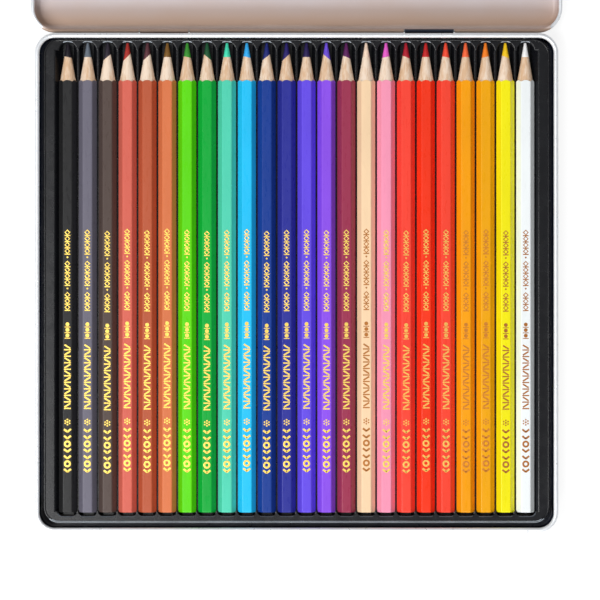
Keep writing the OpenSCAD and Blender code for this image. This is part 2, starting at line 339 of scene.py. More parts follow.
def copied(piece, name, shift=(0.0, 0.0, 0.0)):
    """A copy of a piece with its own mesh, moved in its mesh."""
    twin = piece.copy()
    twin.data = piece.data.copy()
    twin.name = twin.data.name = name
    twin.data.transform(Matrix.Translation(shift))
    bpy.context.scene.collection.objects.link(twin)
    return twin


def join(piece, *others):
    """Joins other pieces into one."""
    select_only(piece, *others)
    bpy.ops.object.join()
    return piece


def box(name, low, high):
    """A plain box between two corners, for cutting."""
    low, high = Vector(low), Vector(high)
    piece = start(name, "cube", size=1.0, location=(low + high) / 2)
    piece.scale = high - low
    bake_place(piece)
    return piece


def smooth(piece, degrees=32.0):
    """Smooths a piece over its shallow edges, with its large faces kept flat."""
    select_only(piece)
    bpy.ops.object.shade_smooth_by_angle(angle=math.radians(degrees), keep_sharp_edges=True)
    modify(piece, "WEIGHTED_NORMAL", keep_sharp=True, weight=60)


def arc(centre_out, centre_z, radius, first, last, steps):
    """Points of an arc in a wall's profile, from one angle in degrees to another."""
    angles = [math.radians(first + (last - first) * i / steps) for i in range(steps + 1)]
    return [(centre_out + radius * math.cos(a), centre_z + radius * math.sin(a)) for a in angles]


def sweep(name, profile, width, depth, radius, centre_y, corner_steps):
    """Draws a wall's profile as a chain of edges and carries it round a rounded rectangle.

    A profile point is how far it lies outside the rectangle, and its height.
    """
    piece = start(name, "plane", size=MM)
    edit(piece)
    bpy.ops.mesh.merge(type="CENTER")
    x, y = width / 2, centre_y - depth / 2 + radius
    last = Vector((0.0, 0.0, 0.0))
    for step, (out, z) in enumerate(profile):
        point = Vector((x + out, y, z))
        go = extrude if step else move
        go(point - last)
        last = point
    bpy.ops.mesh.select_all(action="SELECT")
    reach_x, reach_y = width / 2 - radius, depth / 2 - radius
    corners = ((reach_x, reach_y), (-reach_x, reach_y), (-reach_x, -reach_y), (reach_x, -reach_y))
    directions = ((0, 1), (-1, 0), (0, -1), (1, 0))
    for side, ((cx, cy), (dx, dy)) in enumerate(zip(corners, directions)):
        run = 2 * (reach_y if side % 2 == 0 else reach_x)
        extrude((dx * run, dy * run, 0.0))
        bpy.ops.mesh.spin(
            steps=corner_steps, angle=-QUARTER, center=(cx, centre_y + cy, 0.0), axis=(0, 0, 1)
        )
    bpy.ops.mesh.select_all(action="SELECT")
    bpy.ops.mesh.remove_doubles(threshold=TINY / 4)
    return piece


def face_up(piece, test):
    """Turns a shell's faces so that the ones that pass a test point up."""
    bpy.ops.mesh.select_all(action="SELECT")
    bpy.ops.mesh.normals_make_consistent(inside=False)
    mesh = bmesh.from_edit_mesh(piece.data)
    down = sum(1 if face.normal.z < 0 else -1 for face in mesh.faces if test(face))
    if down > 0:
        bpy.ops.mesh.flip_normals()


# Finishes


class Finish:
    """A material: a Principled shader and the textures that feed it, on Object coordinates."""

    def __init__(self, name, base, **constants):
        self.material = bpy.data.materials.new(name)
        self.material.use_nodes = True
        self.tree = self.material.node_tree
        self.shader = self.tree.nodes["Principled BSDF"]
        self.shader.inputs["Base Color"].default_value = (*base, 1.0)
        for key, value in constants.items():
            socket = key.replace("_", " ").title().replace("Ior", "IOR")
            self.shader.inputs[socket].default_value = value
        self.material.diffuse_color = (*base, 1.0)

    def add(self, kind, **settings):
        node = self.tree.nodes.new("ShaderNode" + kind)
        for key, value in settings.items():
            setattr(node, key, value)
        return node

    def link(self, output, target):
        self.tree.links.new(output, target)

    def coordinates(self, scale, place=(0.0, 0.0, 0.0)):
        mapping = self.add("Mapping")
        mapping.inputs["Scale"].default_value = scale
        mapping.inputs["Location"].default_value = place
        self.link(self.add("TexCoord").outputs["Object"], mapping.inputs["Vector"])
        return mapping.outputs["Vector"]

    def noise(self, scale, detail=3.0, rough=0.5, place=(0.0, 0.0, 0.0)):
        """A noise whose cells are as many to the metre along X, Y and Z as scale says."""
        texture = self.add("TexNoise")
        texture.inputs["Scale"].default_value = 1.0
        texture.inputs["Detail"].default_value = detail
        texture.inputs["Roughness"].default_value = rough
        self.link(self.coordinates(scale, place), texture.inputs["Vector"])
        return texture.outputs[0]

    def ranged(self, value, low, high, start=0.3, end=0.7):
        spread = self.add("MapRange")
        for key, number in (("From Min", start), ("From Max", end), ("To Min", low), ("To Max", high)):
            spread.inputs[key].default_value = number
        self.link(value, spread.inputs["Value"])
        return spread.outputs["Result"]

    def tint(self, value, first, second, start=0.35, end=0.65):
        """Colors the surface between two colors."""
        ramp = self.add("ValToRGB")
        for stop, place, tone in zip(ramp.color_ramp.elements, (start, end), (first, second)):
            stop.position = place
            stop.color = (*tone, 1.0)
        self.link(value, ramp.inputs["Fac"])
        self.link(ramp.outputs["Color"], self.shader.inputs["Base Color"])
        return ramp

    def math(self, operation, *values):
        """The result of a Math node on outputs and numbers."""
        node = self.add("Math", operation=operation)
        for place, value in zip(node.inputs, values):
            if isinstance(value, float):
                place.default_value = value
            else:
                self.link(value, place)
        return node.outputs["Value"]

    def behind(self, wall_y):
        """How far a point lies behind a wall across the tin."""
        parts = self.add("SeparateXYZ")
        self.link(self.coordinates((1.0, 1.0, 1.0), (0.0, -wall_y, 0.0)), parts.inputs["Vector"])
        return parts.outputs["Y"]

    def roughen(self, value, low, high):
        self.link(self.ranged(value, low, high), self.shader.inputs["Roughness"])

    def bump(self, value, depth, strength=1.0):
        """Raises the surface by a texture, over any bump before."""
        bump = self.add("Bump")
        bump.inputs["Strength"].default_value = strength
        bump.inputs["Distance"].default_value = depth
        self.link(value, bump.inputs["Height"])
        before = self.shader.inputs["Normal"]
        if before.is_linked:
            self.link(before.links[0].from_socket, bump.inputs["Normal"])
        self.link(bump.outputs["Normal"], before)


def shade(tone, factor):
    """A color made lighter or darker."""
    return tuple(min(1.0, part * factor) for part in tone)


def lacquer_finish(name, tone, roughness=0.3):
    """Glossy pencil lacquer over wood whose grain just shows through."""
    finish = Finish(name, tone, specular_ior_level=0.24)
    cloud = finish.noise((160.0, 30.0, 160.0), detail=4.0)
    finish.tint(cloud, shade(tone, 0.955), shade(tone, 1.03))
    finish.roughen(finish.noise((900.0, 240.0, 900.0)), roughness - 0.06, roughness + 0.08)
    finish.bump(finish.noise((1500.0, 60.0, 1500.0), detail=2.0), 0.012 * MM, 0.35)
    finish.bump(finish.noise((420.0, 420.0, 420.0), detail=1.0), 0.02 * MM, 0.25)
    return finish.material


def wood_finish(name, pale, dark):
    """Bare pencil wood, its tone a little different from slat to slat."""
    finish = Finish(name, pale, roughness=0.62)
    grain = finish.noise((1500.0, 95.0, 1500.0), detail=5.0, rough=0.62)
    slat = finish.ranged(finish.noise((150.0, 8.0, 150.0), detail=0.0), -0.13, 0.1)
    finish.tint(finish.math("ADD", grain, slat), dark, pale, 0.34, 0.6)
    finish.bump(grain, 0.03 * MM, 0.5)
    marks = finish.add("TexWave", bands_direction="Y")
    marks.inputs["Scale"].default_value = 620.0
    marks.inputs["Distortion"].default_value = 2.2
    marks.inputs["Detail"].default_value = 2.0
    finish.link(finish.coordinates((1.0, 1.0, 1.0)), marks.inputs["Vector"])
    finish.bump(marks.outputs["Fac"], 0.015 * MM, 0.4)
    return finish.material


def lead_finish(name, tone):
    """Waxy colored lead, turned by the sharpener."""
    finish = Finish(name, tone, specular_ior_level=0.35)
    finish.tint(finish.noise((1400.0, 500.0, 1400.0), detail=4.0), shade(tone, 0.86), shade(tone, 1.06))
    finish.roughen(finish.noise((1100.0, 700.0, 1100.0)), 0.42, 0.6)
    marks = finish.add("TexWave", bands_direction="Y")
    marks.inputs["Scale"].default_value = 900.0
    marks.inputs["Distortion"].default_value = 3.0
    finish.link(finish.coordinates((1.0, 1.0, 1.0)), marks.inputs["Vector"])
    finish.bump(marks.outputs["Fac"], 0.012 * MM, 0.4)
    return finish.material


def foil_finish(name, tone):
    """Hot-stamped metal foil, a little thin in places."""
    finish = Finish(name, tone, metallic=0.75)
    finish.tint(finish.noise((2600.0, 2600.0, 2600.0), detail=2.0), shade(tone, 0.8), tone, 0.3, 0.5)
    finish.roughen(finish.noise((3000.0, 3000.0, 3000.0)), 0.3, 0.5)
    return finish.material


def tinplate_finish(name, tone):
    """Bright rolled tinplate under clear varnish."""
    finish = Finish(name, tone, metallic=0.35)
    grain = finish.noise((400.0, 400.0, 400.0), detail=3.0)
    finish.roughen(grain, 0.26, 0.36)
    finish.tint(finish.noise((90.0, 90.0, 90.0), detail=3.0), shade(tone, 0.95), tone)
    finish.bump(grain, 0.004 * MM, 0.2)
    return finish.material


def outside_finish(name, tone):
    """Dark lacquer baked on the outside of the tin."""
    finish = Finish(name, tone, coat_weight=0.6, coat_roughness=0.1)
    finish.roughen(finish.noise((300.0, 300.0, 300.0), detail=4.0), 0.26, 0.38)
    finish.tint(finish.noise((70.0, 70.0, 70.0), detail=3.0), shade(tone, 0.9), shade(tone, 1.06))
    finish.bump(finish.noise((700.0, 700.0, 700.0), detail=1.0), 0.008 * MM, 0.3)
    return finish.material


def inside_finish(name, panel, edge, bend):
    """Thin satin lacquer over the inside of the lid, with painted shade that darkens it towards the
    wall by the hinge and a band of painted light over that wall's bend.
    """
    finish = Finish(name, panel, metallic=0.1, coat_weight=0.3, coat_roughness=0.35)
    grain = finish.noise((50.0, 2200.0, 2200.0), detail=4.0)
    finish.roughen(grain, 0.36, 0.48)
    # Painted shade: from 0 at the curled edge by the hinge to 1 on the panel
    hinge_shade_fade = finish.ranged(finish.behind(LID_LOW.y), 0.0, 1.0, 1 * MM, 18 * MM)
    cloud = finish.ranged(finish.noise((38.0, 60.0, 38.0), detail=4.0), 0.88, 1.12)
    ramp = finish.tint(finish.math("MULTIPLY", hinge_shade_fade, cloud), edge, panel, 0.235, 0.88)
    # Stops of painted shade by the hinge wall, with a band of painted light over its bend
    for place, tone in ((0.028, edge), (0.044, bend), (0.09, bend), (0.15, edge)):
        ramp.color_ramp.elements.new(place).color = (*tone, 1.0)
    finish.bump(grain, 0.005 * MM, 0.3)
    return finish.material


def plastic_finish(name, tone):
    """Black sheet formed over a mould, satin."""
    finish = Finish(name, tone, specular_ior_level=0.45)
    finish.roughen(finish.noise((260.0, 260.0, 260.0), detail=4.0), 0.22, 0.3)
    finish.tint(finish.noise((120.0, 40.0, 120.0), detail=3.0), shade(tone, 0.85), shade(tone, 1.1))
    finish.bump(finish.noise((3200.0, 3200.0, 3200.0), detail=2.0), 0.006 * MM, 0.35)
    return finish.material


def steel_finish(name, tone):
    """Drawn steel wire."""
    finish = Finish(name, tone, metallic=1.0)
    finish.roughen(finish.noise((80.0, 5000.0, 5000.0)), 0.25, 0.42)
    return finish.material


def give(piece, *materials):
    """Gives a piece these materials and no others."""
    piece.data.materials.clear()
    for material in materials:
        piece.data.materials.append(material)


# Pieces


def model_bar(sizes):
    """A hexagonal bar, two flats level, along Y on X 0."""
    bar = start(
        "pencil_bar", "cylinder", vertices=6, radius=ACROSS_FLATS / 2 / math.cos(math.radians(30)),
        depth=POINT_Y - BUTT_Y, location=(0.0, (BUTT_Y + POINT_Y) / 2, AXIS_Z),
        rotation=(QUARTER, QUARTER / 3, 0.0),
    )
    bake_place(bar)
    edit(bar)
    pick("EDGE", lambda e: abs(e.verts[0].co.y - e.verts[1].co.y) > sizes.cone)
    bpy.ops.mesh.bevel(
        offset=sizes.edge_radius * math.tan(math.radians(30)), segments=5, affect="EDGES"
    )
    pick("EDGE", lambda e: all(v.co.y < BUTT_Y + TINY for v in e.verts))
    bpy.ops.mesh.bevel(offset=sizes.end_radius, segments=4, affect="EDGES")
    close()
    return bar


def model_envelope(sizes):
    """The space inside the sharpener: a cone with a short steep shoulder at its foot."""
    reach = (CASING_HIGH.x - CASING_LOW.x) / 2 + sizes.edge_radius / 20
    foot = ACROSS_FLATS / 2 - sizes.cone_sink
    shoulder_y = POINT_Y - sizes.cone - sizes.shoulder
    rear_y = BUTT_Y - ACROSS_FLATS
    shape = start(
        "pencil_envelope", "cylinder", vertices=96, radius=reach, depth=shoulder_y - rear_y,
        location=(0.0, (shoulder_y + rear_y) / 2, AXIS_Z), rotation=(QUARTER, 0.0, 0.0),
    )
    bake_place(shape)
    edit(shape)
    pick("FACE", lambda f: f.normal.y > 0.99)
    y, radius = shoulder_y, reach
    for step, next_radius in ((sizes.shoulder, foot), (sizes.cone, sizes.point / 2)):
        extrude((0.0, step, 0.0))
        y += step
        factor = next_radius / radius
        bpy.ops.transform.resize(value=(factor, 1.0, factor), center_override=(0.0, y, AXIS_Z))
        radius = next_radius
    bpy.ops.mesh.bevel(offset=sizes.point / 4, segments=3, affect="EDGES")
    close()
    return shape


def model_rod(name, radius, off_middle, overshoot):
    """A round rod along a pencil, slightly off its middle."""
    rod = start(
        name, "cylinder", vertices=48, radius=radius, depth=POINT_Y - BUTT_Y + 2 * overshoot,
        location=(off_middle, (BUTT_Y + POINT_Y) / 2, AXIS_Z), rotation=(QUARTER, 0.0, 0.0),
    )
    bake_place(rod)
    return rod


def spaced(first, pitch, count):
    """Places along a pencil towards its blunt end, given in millimetres."""
    return [(first - pitch * i) * MM for i in range(count)]


def model_stamping(sizes, steps=12):
    """A band of generic foil ornament along the top flat: bars, lozenges, rings and dots."""
    top = Vector((0.0, 0.0, CASING_HIGH.z))
    width = sizes.stamp_width
    stamp = start("stamping", "plane", size=MM)
    edit(stamp)
    bpy.ops.mesh.delete(type="VERT")

    def bar(y, across, along, turn=0.0, x=0.0):
        bpy.ops.mesh.primitive_cube_add(
            size=1.0, location=top + Vector((x, y, 0.0)), rotation=(0.0, 0.0, turn),
            scale=(across, along, sizes.stamp_height),
        )

    def ring(y, across, stroke, sides):
        place = top + Vector((0.0, y, 0.0))
        bpy.ops.mesh.primitive_torus_add(
            location=place, major_radius=(across - stroke) / 2, minor_radius=stroke / 2,
            major_segments=sides, minor_segments=4,
        )
        bpy.ops.transform.resize(
            value=(1.0, 1.0, sizes.stamp_height / stroke), center_override=place
        )

    def dot(y, across, x=0.0):
        bpy.ops.mesh.primitive_cylinder_add(
            vertices=steps, radius=across / 2, depth=sizes.stamp_height,
            location=top + Vector((x, y, 0.0)),
        )

    # A chain of small lozenges between thin bars, with a dot after every fourth
    for i, y in enumerate(spaced(19.0, 2.35, 13)):
        if i % 5 == 4:
            dot(y, 0.7 * MM)
            continue
        ring(y, 0.82 * width, 0.46 * MM, 4)
        bar(y - 1.18 * MM, 0.78 * width, 0.4 * MM)
    # Three solid marks
    for y in spaced(-15.6, 2.1, 3):
        dot(y, 0.55 * width)
        bar(y - 1.05 * MM, 0.8 * width, 0.32 * MM)
    # A ladder of crossed strokes
    for i, y in enumerate(spaced(-24.0, 2.45, 10)):
        turn = math.radians(32.0 if i % 2 else -32.0)
        bar(y, 0.95 * width, 0.58 * MM, turn)
        bar(y - 1.2 * MM, 0.95 * width, 0.48 * MM)
    # A rosette
    rosette_y, petals, reach = -52.4 * MM, 6, 0.95 * MM
    dot(rosette_y, 0.75 * MM)
    for i in range(petals):
        angle = math.tau * i / petals
        dot(rosette_y + reach * math.cos(angle), 0.62 * MM, reach * math.sin(angle))
    # Bold rings and zigzags
    for i, y in enumerate(spaced(-55.6, 2.5, 7)):
        if i % 3 == 2:
            ring(y, width, 0.74 * MM, steps)
        else:
            for side in (-1.0, 1.0):
                bar(y, 0.64 * width, 0.72 * MM, side * math.radians(38.0), side * 0.23 * width)
    close()
    return stamp


def model_casing(name, sizes, bar, envelope, off_middle):
    """One sharpened and bored casing on X 0."""
    casing = copied(bar, name)
    carve(casing, copied(envelope, "cutter"), "INTERSECT")
    carve(casing, model_rod("bore", sizes.lead / 2, off_middle, MM))
    return casing


def is_bare(face, sizes, off_middle):
    """Whether a face of the casing is bare wood: the cone, the cut end or the bore."""
    middle = face.center
    away = math.hypot(middle.x - off_middle, middle.z - AXIS_Z)
    in_bore = away < 1.05 * sizes.lead / 2 and middle.y < POINT_Y - sizes.cone
    return in_bore or face.normal.y > 0.1 or face.normal.y < -0.99


def part_paint(casing, sizes, off_middle):
    """Gives the casing's bare faces the wood and keeps the border to the paint sharp."""
    for face in casing.data.polygons:
        face.material_index = 1 if is_bare(face, sizes, off_middle) else 0
    edit(casing)
    mesh = bmesh.from_edit_mesh(casing.data)
    for edge in mesh.edges:
        kinds = {face.material_index for face in edge.link_faces}
        edge.smooth = len(kinds) == 1
    bmesh.update_edit_mesh(casing.data)
    close()


def model_lead(name, sizes, envelope, off_middle):
    """One colored lead on X 0."""
    lead = model_rod(name, sizes.lead / 2, off_middle, 0.0)
    carve(lead, copied(envelope, "cutter"), "INTERSECT")
    return lead


def rim_profile(tin, height):
    """The base's wall from its floor bend up, rolled inwards at the top."""
    bend, rim = tin.floor_bend, tin.rim / 2
    return arc(-bend, bend, bend, -90.0, 0.0, 6) + arc(-rim, height - rim, rim, 0.0, 270.0, 24)


def lid_profile(tin):
    """The inside of the open lid's wall from its panel up, curled outwards at the top."""
    bend, curl = tin.lid_bend, tin.curl / 2
    return (
        arc(-bend, tin.sheet + bend, bend, -90.0, 0.0, 6)
        + arc(curl, HINGE_Z, curl, 180.0, -90.0, 18)
    )


def fill_floor(z):
    """Fills the open loop at the foot of a swept wall."""
    pick("EDGE", lambda e: e.is_boundary and all(abs(v.co.z - z) < TINY for v in e.verts))
    bpy.ops.mesh.edge_face_add()


def model_rib(tin, width, depth):
    """Stamps a rib into the base's floor, one rounded loop inside the other."""
    slope = 0.35 * MM
    lines = (
        (tin.rib_inset - slope, 0.0),
        (tin.rib_inset, tin.rib_height),
        (tin.rib_inset + tin.rib_width, tin.rib_height),
        (tin.rib_inset + tin.rib_width + slope, 0.0),
    )
    inset, z = tin.floor_bend, 0.0
    for next_inset, next_z in lines:
        extrude((0.0, 0.0, next_z - z))
        narrower = [(size - 2 * next_inset) / (size - 2 * inset) for size in (width, depth)]
        bpy.ops.transform.resize(value=(*narrower, 1.0), center_override=(0.0, 0.0, 0.0))
        inset, z = next_inset, next_z


def model_base(tin, corner_steps):
    """The base: floor with its rib, wall, rolled rim, windows and curled hinge tabs."""
    width = BASE_HIGH.x - BASE_LOW.x
    depth = -2 * BASE_LOW.y
    base = sweep(
        "tin_base", rim_profile(tin, BASE_HIGH.z), width, depth, tin.corner_radius, 0.0, corner_steps
    )
    fill_floor(0.0)
    model_rib(tin, width, depth)
    face_up(base, lambda face: face.calc_center_median().z < TINY)
    bpy.ops.mesh.select_all(action="SELECT")
    bpy.ops.mesh.flip_normals()
    close()
    modify(base, "SOLIDIFY", thickness=tin.sheet, offset=-1.0, use_even_offset=True)
    head = HINGE_Z - tin.knuckle / 2
    for side in (-1.0, 1.0):
        x = side * tin.hinge_place
        low = (x - tin.knuckle_width / 2, depth / 2 - 4 * tin.sheet, head - tin.window_height)
        high = (x + tin.knuckle_width / 2, depth / 2 + MM, head)
        carve(base, box("window", low, high))
    tabs = [model_tab(tin, side * tin.hinge_place, depth) for side in (-1.0, 1.0)]
    return join(base, *tabs)


def model_tab(tin, x, depth):
    """A hinge tab, bent out of the wall and curled round the pin."""
    radius = tin.knuckle / 2
    tab = start("hinge_tab", "plane", size=MM)
    edit(tab)
    bpy.ops.mesh.merge(type="CENTER")
    move((x - tin.knuckle_width / 2, depth / 2 - tin.sheet, HINGE_Z - radius))
    extrude((0.0, HINGE_Y - depth / 2 + tin.sheet, 0.0))
    bpy.ops.mesh.spin(
        steps=24, angle=math.radians(-330.0), axis=(1, 0, 0),
        center=(x - tin.knuckle_width / 2, HINGE_Y, HINGE_Z),
    )
    bpy.ops.mesh.select_all(action="SELECT")
    extrude((tin.knuckle_width, 0.0, 0.0))
    bpy.ops.mesh.select_all(action="SELECT")
    bpy.ops.mesh.remove_doubles(threshold=TINY / 4)
    face_up(tab, lambda face: face.calc_center_median().z < HINGE_Z - radius + TINY)
    bpy.ops.mesh.flip_normals()
    close()
    modify(tab, "SOLIDIFY", thickness=tin.sheet, offset=-1.0, use_even_offset=True)
    return tab


def model_lid(tin, corner_steps):
    """The open lid: panel, skirt with its curled edge, and the hinge slots."""
    width = LID_HIGH.x - LID_LOW.x - 2 * tin.curl
    depth = LID_HIGH.y - LID_LOW.y - 2 * tin.curl
    centre_y = (LID_HIGH.y + LID_LOW.y) / 2
    lid = sweep(
        "tin_lid", lid_profile(tin), width, depth, tin.lid_radius, centre_y, corner_steps
    )
    fill_floor(tin.sheet)
    face_up(lid, lambda face: face.calc_center_median().z < tin.sheet + TINY)
    close()
    modify(lid, "SOLIDIFY", thickness=tin.sheet, offset=-1.0, use_even_offset=True)
    for side in (-1.0, 1.0):
        x = side * tin.hinge_place
        low = (x - tin.slot_width / 2, HINGE_Y - tin.curl, HINGE_Z - tin.slot_depth)
        high = (x + tin.slot_width / 2, HINGE_Y + tin.curl, HINGE_Z + tin.curl)
        carve(lid, box("slot", low, high))
    return lid


def is_past_wall(point, tin):
    """Whether a point lies outside the inner wall of the open lid, seen from above."""
    reach_x = LID_HIGH.x - tin.curl - tin.lid_radius
    reach_y = (LID_HIGH.y - LID_LOW.y) / 2 - tin.curl - tin.lid_radius
    centre_y = (LID_HIGH.y + LID_LOW.y) / 2
    out_x = max(0.0, abs(point.x) - reach_x)
    out_y = max(0.0, abs(point.y - centre_y) - reach_y)
    return math.hypot(out_x, out_y) > tin.lid_radius + 0.05 * MM


def is_outer_edge(edge, z):
    """Whether an edge in edit mode is the convex rim of a level face at a height."""
    return (
        edge.is_convex
        and len(edge.link_faces) == 2
        and all(abs(v.co.z - z) < TINY for v in edge.verts)
        and any(face.normal.z > 0.99 for face in edge.link_faces)
        and edge.calc_face_angle() > math.radians(25)
    )


def round_edges(z, radius, segments=4):
    """Rounds the convex rims of the level faces at a height."""
    pick(
        "EDGE",
        lambda edge: is_outer_edge(edge, z)
        and not is_by_cusp((edge.verts[0].co + edge.verts[1].co) / 2),
    )
    bpy.ops.mesh.bevel(
        offset=radius, offset_type="OFFSET", segments=segments, affect="EDGES", clamp_overlap=False
    )


def is_by_cusp(point):
    """Whether a point lies where the blunt ends of two channels meet, too thin to round."""
    off_cusp = abs((point.x - ROW_X) / PITCH % 1.0 - 0.5) * PITCH
    return off_cusp < MM and abs(point.x) < abs(ROW_X) and abs(point.y - BUTT_Y) < HEEL


def model_nubs(sizes, ridge_z):
    """Three rows of small nubs on the ridges, one modelled and the rest copied."""
    sunk = 0.1 * MM
    first = start(
        "nub", "cone", vertices=12, radius1=sizes.nub / 2, radius2=sizes.nub / 4,
        depth=sizes.nub_height + sunk,
    )
    edit(first)
    pick("EDGE", lambda edge: all(v.co.z > 0 for v in edge.verts))
    bpy.ops.mesh.bevel(offset=sizes.nub / 12, segments=2, affect="EDGES")
    close()
    z = ridge_z + (sizes.nub_height - sunk) / 2
    nubs = [
        copied(first, "nub", (ROW_X + (i + 0.5) * PITCH, BUTT_Y + station, z))
        for i in range(len(PENCILS) - 1)
        for station in NUB_STATIONS
    ]
    bpy.data.objects.remove(first)
    return nubs


def model_tray(sizes):
    """The formed tray: its walls from the CAD node, with the soft edges of a formed sheet."""
    border_z, ridge_z = TRAY_TOP - sizes.lip_height, AXIS_Z - sizes.ridge_drop
    tray = copied(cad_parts["pencil_tray"], "formed_tray")
    tray.parent = None
    for key in [key for key in tray.keys() if key.startswith("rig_")]:
        del tray[key]
    edit(tray)
    bpy.ops.mesh.remove_doubles(threshold=TINY / 4)
    pick("FACE", lambda face: is_nub(face, sizes, ridge_z))
    bpy.ops.mesh.delete(type="FACE")
    bpy.ops.mesh.select_all(action="SELECT")
    bpy.ops.mesh.fill_holes(sides=0)
    bpy.ops.mesh.select_all(action="SELECT")
    bpy.ops.mesh.dissolve_limited(angle_limit=math.radians(1.0))
    round_edges(ridge_z, sizes.ridge_round)
    round_edges(border_z, sizes.border_round)
    round_edges(TRAY_TOP, sizes.lip_round)
    close()
    return join(tray, *model_nubs(sizes, ridge_z))


def is_nub(face, sizes, ridge_z):
    """Whether a face in edit mode belongs to a nub on a ridge."""
    middle = face.calc_center_median()
    reach = sizes.nub / 1.5
    at_station = any(abs(middle.y - BUTT_Y - station) < reach for station in NUB_STATIONS)
    return at_station and middle.z > ridge_z + TINY and middle.z < ridge_z + MM


def painted_highlight_level(face, sizes):
    """Which painted highlight an edge of the tray gets: 0 none, 1 a faint one, 2 a bright one."""
    middle, border_z = face.center, TRAY_TOP - sizes.lip_height
    off_pencil = abs(((middle.x - ROW_X) / PITCH + 0.5) % 1.0 - 0.5) * PITCH
    if middle.z < border_z - sizes.border_round or not 0.2 < face.normal.z < 0.99:
        return 0
    if middle.z > border_z + TINY:
        return 2 if middle.y < BUTT_Y - HEEL else 0
    if abs(middle.x) > abs(ROW_X) + PITCH / 2:
        return 0
    if middle.y > POINT_Y and off_pencil < STOP_REACH:
        return 2
    return int(abs(middle.y - BUTT_Y) < HEEL)


class BuildOperator:
    """What all the build operators share."""

    bl_options = {"REGISTER", "UNDO"}

    @property
    def settings(self):
        return bpy.context.scene.pencil_tin


class PENCILTIN_OT_base(BuildOperator, bpy.types.Operator):
    """Model the tinplate base with its rolled rim and hinge tabs"""

    bl_idname = "penciltin.base"
    bl_label = "Base"

    def execute(self, context):
        tin, colors = self.settings.tin, self.settings.finish
        base = model_base(tin, self.settings.corner_steps)
        give(
            base,
            tinplate_finish("base_tinplate", colors.tinplate),
            outside_finish("base_outside", colors.outside),
            outside_finish("left_tab", colors.inside_shade_and_tab),
        )
        bead_z = BASE_HIGH.z - 0.85 * tin.rim
        for face in base.data.polygons:
            if face.center.z > bead_z:
                face.material_index = 0
            # The left hinge tab takes the pale colour of the painted shade by the hinge; the right tab
            # keeps the outside lacquer
            elif face.center.y > -BASE_LOW.y + TINY and face.center.x < 0:
                face.material_index = 2
            else:
                face.material_index = 1
        smooth(base)
        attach(base, "base")
        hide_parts("base_shell")
        return {"FINISHED"}


class PENCILTIN_OT_lid(BuildOperator, bpy.types.Operator):
    """Model the open lid with its curled edge and hinge slots"""

    bl_idname = "penciltin.lid"
    bl_label = "Lid"

    def execute(self, context):
        tin, colors = self.settings.tin, self.settings.finish
        lid = model_lid(tin, self.settings.corner_steps)
        give(
            lid,
            inside_finish("lid_inside", colors.inside, colors.inside_shade_and_tab, colors.inside_bend_light),
            outside_finish("lid_outside", colors.outside),
            tinplate_finish("lid_rim", colors.tinplate),
        )
        wall_x = LID_HIGH.x - tin.curl
        for face in lid.data.polygons:
            middle = face.center
            past_wall = is_past_wall(middle, tin)
            if past_wall and middle.z > HINGE_Z - tin.curl / 2:
                bright = abs(middle.x) > wall_x - 0.4 * tin.corner_radius
                face.material_index = 2 if bright else 0
            elif past_wall or face.normal.z < -0.5:
                face.material_index = 1
        smooth(lid)
        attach(lid, "lid")
        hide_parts("lid_shell")
        return {"FINISHED"}


class PENCILTIN_OT_pins(BuildOperator, bpy.types.Operator):
    """Give the two hinge pins their drawn steel"""

    bl_idname = "penciltin.pins"
    bl_label = "Hinge pins"

    def execute(self, context):
        steel = steel_finish("pin_wire", self.settings.finish.steel)
        for name in ("left_hinge_pin", "right_hinge_pin"):
            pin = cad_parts[name]
            for place in pin.material_slots:
                place.material = steel
        return {"FINISHED"}


class PENCILTIN_OT_tray(BuildOperator, bpy.types.Operator):
    """Dress the formed plastic tray"""

    bl_idname = "penciltin.tray"
    bl_label = "Tray"

    def execute(self, context):
        tray = model_tray(self.settings.tray)
        sizes, colors = self.settings.tray, self.settings.finish
        give(
            tray,
            plastic_finish("tray_plastic", colors.plastic),
            plastic_finish("tray_rubbed", colors.rubbed),
            plastic_finish("tray_lip", colors.bright_edge_highlight),
        )
        # Painted highlight: paler plastic on rounded edges of the tray by the blunt ends, on its front
        # lip and on the stops before the points
        for face in tray.data.polygons:
            face.material_index = painted_highlight_level(face, sizes)
        smooth(tray, 40.0)
        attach(tray, "tray")
        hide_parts("pencil_tray")
        return {"FINISHED"}


class PENCILTIN_OT_pencils(BuildOperator, bpy.types.Operator):
    """Model the row of sharpened pencils with their leads and stamping"""

    bl_idname = "penciltin.pencils"
    bl_label = "Pencils"

    def execute(self, context):
        sizes, colors = self.settings.pencil, self.settings.finish
        bar, envelope = model_bar(sizes), model_envelope(sizes)
        stamping = model_stamping(sizes)
        wood = wood_finish("bare_wood", colors.wood_pale, colors.wood_dark)
        foils = {foil: foil_finish(f"{foil}_foil", getattr(colors, foil)) for foil in FOILS}
        for name, casing_code, lead_code, off_middle, foil, shift in PENCILS:
            off_middle *= MM
            low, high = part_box(f"{name}_casing")
            place = ((low.x + high.x) / 2, 0.0, 0.0)
            casing = model_casing(f"{name}_pencil", sizes, bar, envelope, off_middle)
            give(casing, lacquer_finish(f"{name}_lacquer", linear(casing_code)), wood)
            part_paint(casing, sizes, off_middle)
            smooth(casing, 28.0)
            stamp = copied(stamping, f"{name}_stamping", (0.0, -shift * MM, 0.0))
            give(stamp, foils[foil])
            join(casing, stamp)
            casing.data.transform(Matrix.Translation(place))
            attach(casing, f"{name}_pencil")
            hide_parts(f"{name}_casing")
            lead = model_lead(f"{name}_core", sizes, envelope, off_middle)
            lead.data.transform(Matrix.Translation(place))
            give(lead, lead_finish(f"{name}_wax", linear(lead_code)))
            smooth(lead, 40.0)
            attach(lead, f"{name}_pencil")
            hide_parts(f"{name}_lead")
        for helper in (bar, envelope, stamping):
            bpy.data.objects.remove(helper)
        return {"FINISHED"}


